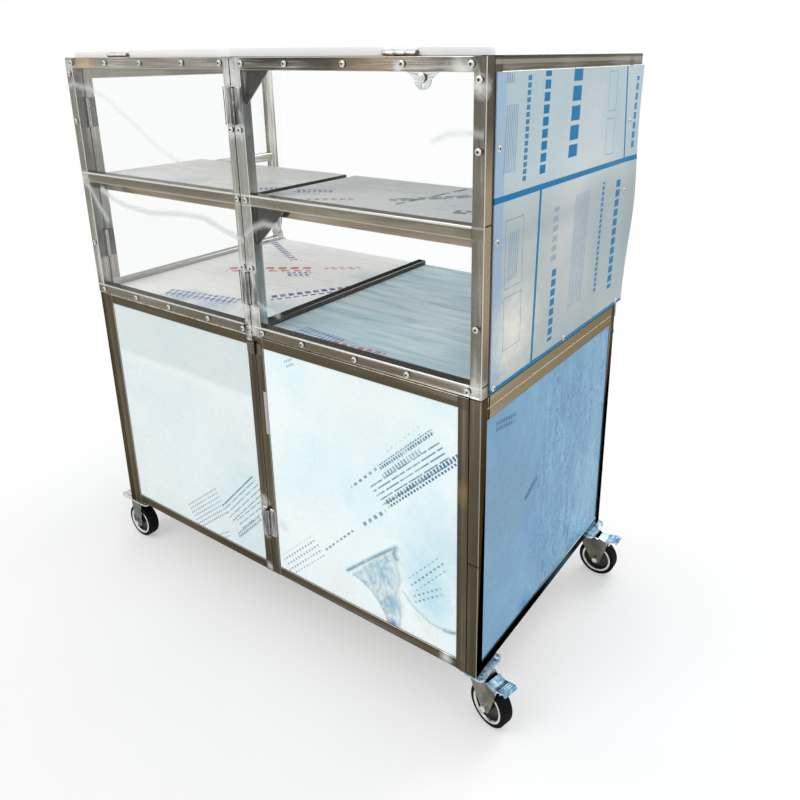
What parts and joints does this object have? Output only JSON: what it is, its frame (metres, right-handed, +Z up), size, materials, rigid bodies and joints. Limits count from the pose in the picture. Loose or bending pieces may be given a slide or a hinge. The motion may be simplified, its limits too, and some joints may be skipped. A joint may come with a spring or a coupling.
{
  "type": "snack cart",
  "caption": "Snack cart of square steel tube on castors: panelled cabinet below, clear display case with shelf above, hinged front doors, hinged sheet lid and draw latches",
  "frame": {"origin": "on the floor under the middle of the whole cart, castor plates and brake pedals included", "axes": "+X along the front to the swivel castors, +Y from the clear front to the open back, +Z up"},
  "size_m": [1.3189, 0.7444, 1.396],
  "materials": {
    "polished_tube": "polished",
    "bare_steel": "satin",
    "zinc_steel": "zinc plated",
    "pale_film_sheet": "steel sheet under pale protective film",
    "slate_film_sheet": "steel sheet under blue-grey protective film",
    "white_film_board": "steel sheet under white protective film",
    "clear_plastic": "clear",
    "lilac_film_plastic": "plastic sheet under pale protective film",
    "caster_rubber": "matte",
    "caster_core": "moulded"
  },
  "bodies": {
    "cart": {"cabinet_left_end_frame": "polished_tube", "cabinet_right_end_frame": "polished_tube", "cabinet_front_left_frame": "polished_tube", "cabinet_cross_tubes": "polished_tube", "deck_centre_tube": "polished_tube", "case_left_end_frame": "polished_tube", "case_right_end_frame": "polished_tube", "case_front_left_frame": "polished_tube", "case_tie_tubes": "polished_tube", "shelf_tubes": "polished_tube", "hinge_fixed_leaves": "bare_steel", "corner_hinge_leaves": "bare_steel", "hinge_pins": "bare_steel", "seam_clasp": "bare_steel", "cabinet_floor_sheet": "bare_steel", "cabinet_back_panels": "bare_steel", "sheet_screws": "zinc_steel", "latch_bases": "zinc_steel", "latch_keepers": "zinc_steel", "rigid_caster_forks": "zinc_steel", "rigid_axle_bolts": "zinc_steel", "swivel_caster_plates": "zinc_steel", "cabinet_front_left_panel": "pale_film_sheet", "cabinet_end_panels": "slate_film_sheet", "deck_board_left": "white_film_board", "deck_board_right": "white_film_board", "shelf_board_left": "white_film_board", "shelf_board_right": "white_film_board", "case_front_left_sheet": "clear_plastic", "case_left_end_sheet": "clear_plastic", "case_right_end_sheet": "lilac_film_plastic"},
    "case_door": {"case_door_frame": "polished_tube", "case_door_sheet": "clear_plastic", "case_door_screws": "zinc_steel", "case_door_tab": "bare_steel", "case_door_hinge_leaves": "bare_steel"},
    "cabinet_door": {"cabinet_door_frame": "polished_tube", "cabinet_door_panel": "pale_film_sheet", "cabinet_door_hinge_leaves": "bare_steel"},
    "lid": {"lid": "bare_steel", "lid_hinge_leaves": "bare_steel"},
    "rigid_wheel_front": {"rigid_tyre_front": "caster_rubber", "rigid_wheel_core_front": "caster_core"},
    "swivel_front": {"swivel_fork_front": "zinc_steel", "swivel_axle_bolt_front": "zinc_steel"},
    "swivel_wheel_front": {"swivel_tyre_front": "caster_rubber", "swivel_wheel_core_front": "caster_core"},
    "brake_front": {"brake_pedal_front": "zinc_steel"},
    "rigid_wheel_rear": {"rigid_tyre_rear": "caster_rubber", "rigid_wheel_core_rear": "caster_core"},
    "swivel_rear": {"swivel_fork_rear": "zinc_steel", "swivel_axle_bolt_rear": "zinc_steel"},
    "swivel_wheel_rear": {"swivel_tyre_rear": "caster_rubber", "swivel_wheel_core_rear": "caster_core"},
    "brake_rear": {"brake_pedal_rear": "zinc_steel"},
    "latch_lever_left": {"latch_lever_left": "zinc_steel"},
    "latch_bail_left": {"latch_bail_left": "zinc_steel"},
    "latch_lever_right": {"latch_lever_right": "zinc_steel"},
    "latch_bail_right": {"latch_bail_right": "zinc_steel"}
  },
  "joints": [
    {"name": "case_door_hinge", "type": "hinge", "parent": "cart", "child": "case_door", "pos_m": [-0.0185, -0.36765, 1.0775], "axis": [0, 0, -1], "range_deg": [0, 165]},
    {"name": "cabinet_door_hinge", "type": "hinge", "parent": "cart", "child": "cabinet_door", "pos_m": [-0.0185, -0.36765, 0.4525], "axis": [0, 0, -1], "range_deg": [0, 165]},
    {"name": "lid_hinge", "type": "hinge", "parent": "cart", "child": "lid", "pos_m": [-0.0185, -0.34165, 1.3848], "axis": [1, 0, 0], "range_deg": [0, 100]},
    {"name": "rigid_wheel_front_spin", "type": "hinge", "parent": "cart", "child": "rigid_wheel_front", "pos_m": [-0.5985, -0.34285, 0.05], "axis": [0, 1, 0], "continuous": true},
    {"name": "swivel_front_turn", "type": "hinge", "parent": "cart", "child": "swivel_front", "pos_m": [0.5665, -0.32085, 0.13], "axis": [0, 0, 1], "continuous": true},
    {"name": "swivel_wheel_front_spin", "type": "hinge", "parent": "swivel_front", "child": "swivel_wheel_front", "pos_m": [0.60143, -0.32956, 0.05], "axis": [0.2419, 0.9703, 0], "continuous": true},
    {"name": "brake_front_press", "type": "hinge", "parent": "swivel_front", "child": "brake_front", "pos_m": [0.62278, -0.33488, 0.104], "axis": [0.2419, 0.9703, 0], "range_deg": [0, 12]},
    {"name": "rigid_wheel_rear_spin", "type": "hinge", "parent": "cart", "child": "rigid_wheel_rear", "pos_m": [-0.5985, 0.28715, 0.05], "axis": [0, 1, 0], "continuous": true},
    {"name": "swivel_rear_turn", "type": "hinge", "parent": "cart", "child": "swivel_rear", "pos_m": [0.5665, 0.26515, 0.13], "axis": [0, 0, 1], "continuous": true},
    {"name": "swivel_wheel_rear_spin", "type": "hinge", "parent": "swivel_rear", "child": "swivel_wheel_rear", "pos_m": [0.6025, 0.26515, 0.05], "axis": [0, 1, 0], "continuous": true},
    {"name": "brake_rear_press", "type": "hinge", "parent": "swivel_rear", "child": "brake_rear", "pos_m": [0.6245, 0.26515, 0.104], "axis": [0, 1, 0], "range_deg": [0, 12]},
    {"name": "latch_left_swing", "type": "hinge", "parent": "cart", "child": "latch_lever_left", "pos_m": [-0.606, 0.31615, 0.75], "axis": [1, 0, 0], "range_deg": [0, 90]},
    {"name": "bail_left_turn", "type": "hinge", "parent": "latch_lever_left", "child": "latch_bail_left", "pos_m": [-0.606, 0.31615, 0.74], "axis": [1, 0, 0], "range_deg": [-78, 0]},
    {"name": "latch_right_swing", "type": "hinge", "parent": "cart", "child": "latch_lever_right", "pos_m": [0.569, 0.31615, 0.75], "axis": [1, 0, 0], "range_deg": [0, 90]},
    {"name": "bail_right_turn", "type": "hinge", "parent": "latch_lever_right", "child": "latch_bail_right", "pos_m": [0.569, 0.31615, 0.74], "axis": [1, 0, 0], "range_deg": [-78, 0]}
  ],
  "couplings": [
    {"joint": "bail_left_turn", "follows": "latch_left_swing", "ratio": -0.8573},
    {"joint": "bail_right_turn", "follows": "latch_right_swing", "ratio": -0.8573}
  ]
}
